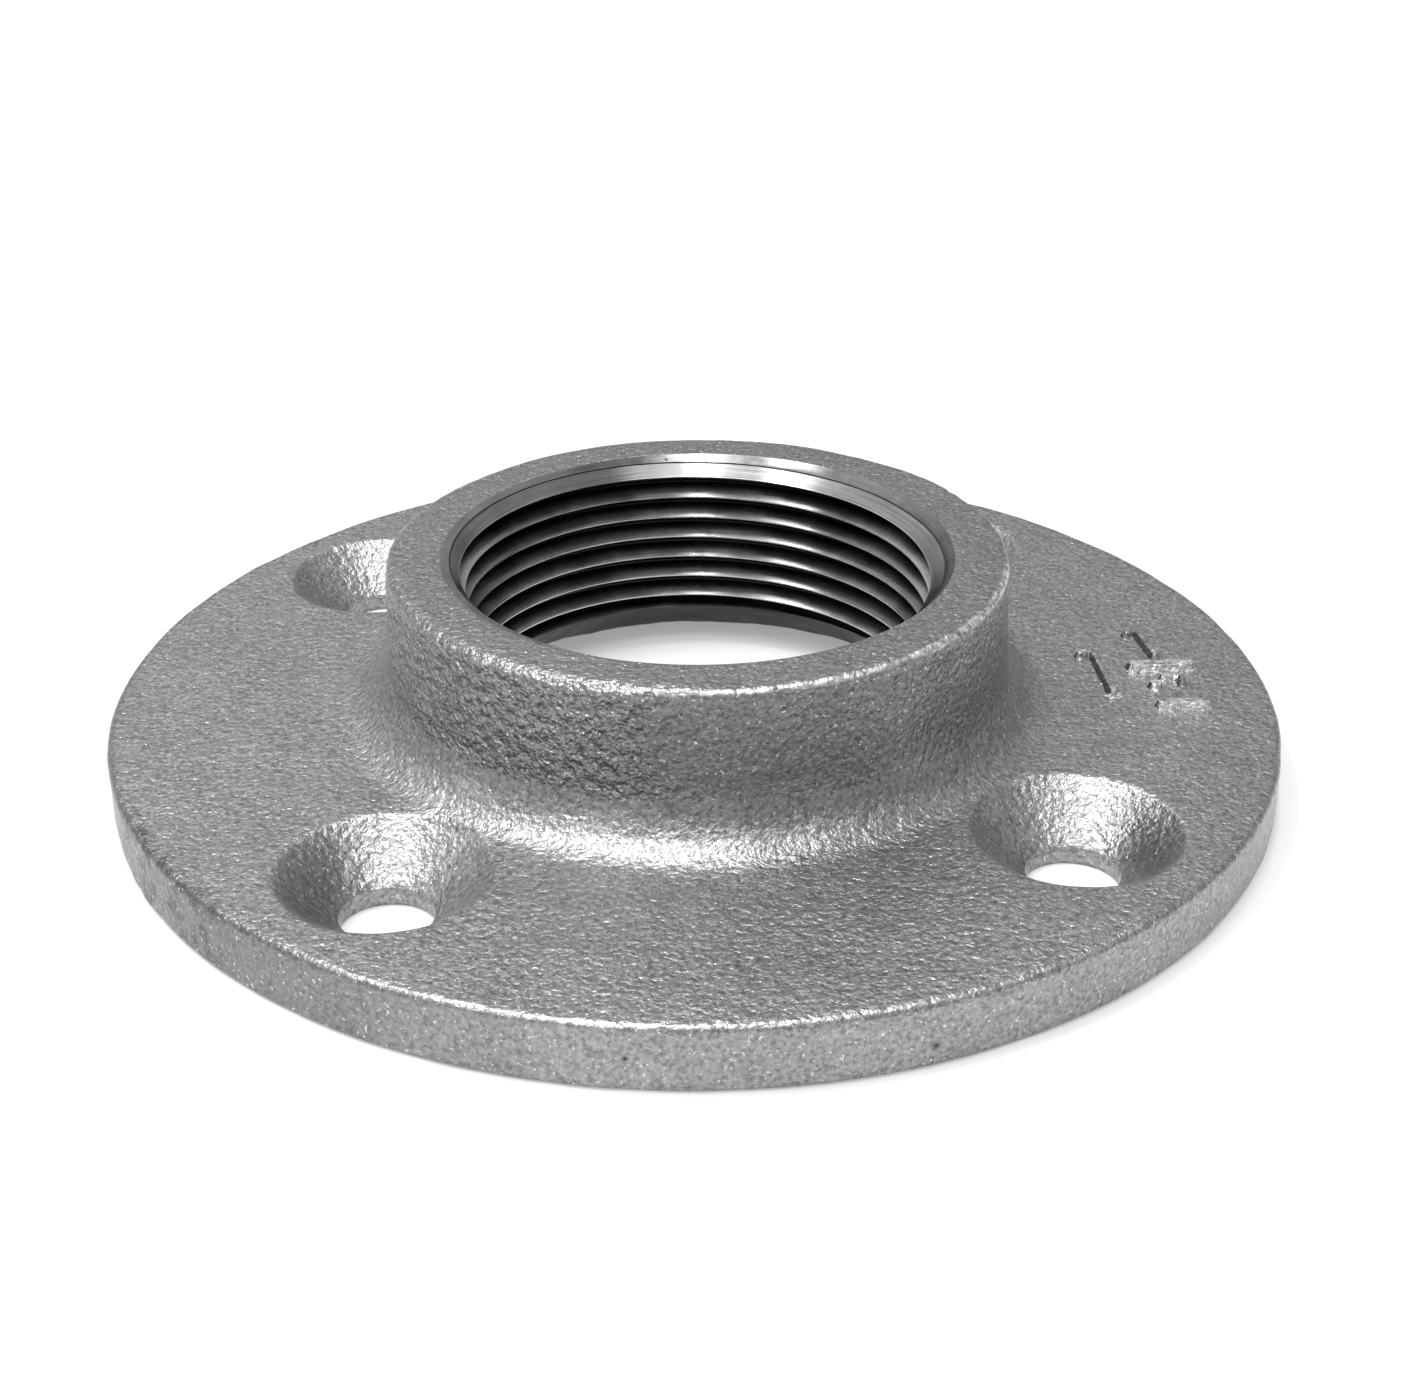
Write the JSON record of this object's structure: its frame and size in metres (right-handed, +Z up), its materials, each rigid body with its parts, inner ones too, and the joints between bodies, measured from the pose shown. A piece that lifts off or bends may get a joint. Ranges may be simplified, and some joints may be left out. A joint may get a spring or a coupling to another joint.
{
  "type": "threaded floor flange",
  "caption": "Round pipe flange with a short internally threaded hub and countersunk screw holes, for fixing a pipe end to a floor, wall or worktop.",
  "frame": {"origin": "centre of the flat underside, on the axis of the threaded hub", "axes": "+Z up out of the hub along the pipe axis; +X towards the raised size figures on the foot"},
  "size_m": [0.112, 0.112, 0.0209],
  "materials": {
    "casting": "as-cast, hot-dip galvanised, fine pebbled grey"
  },
  "bodies": {
    "root": {"floor_flange": "casting"}
  },
  "joints": []
}
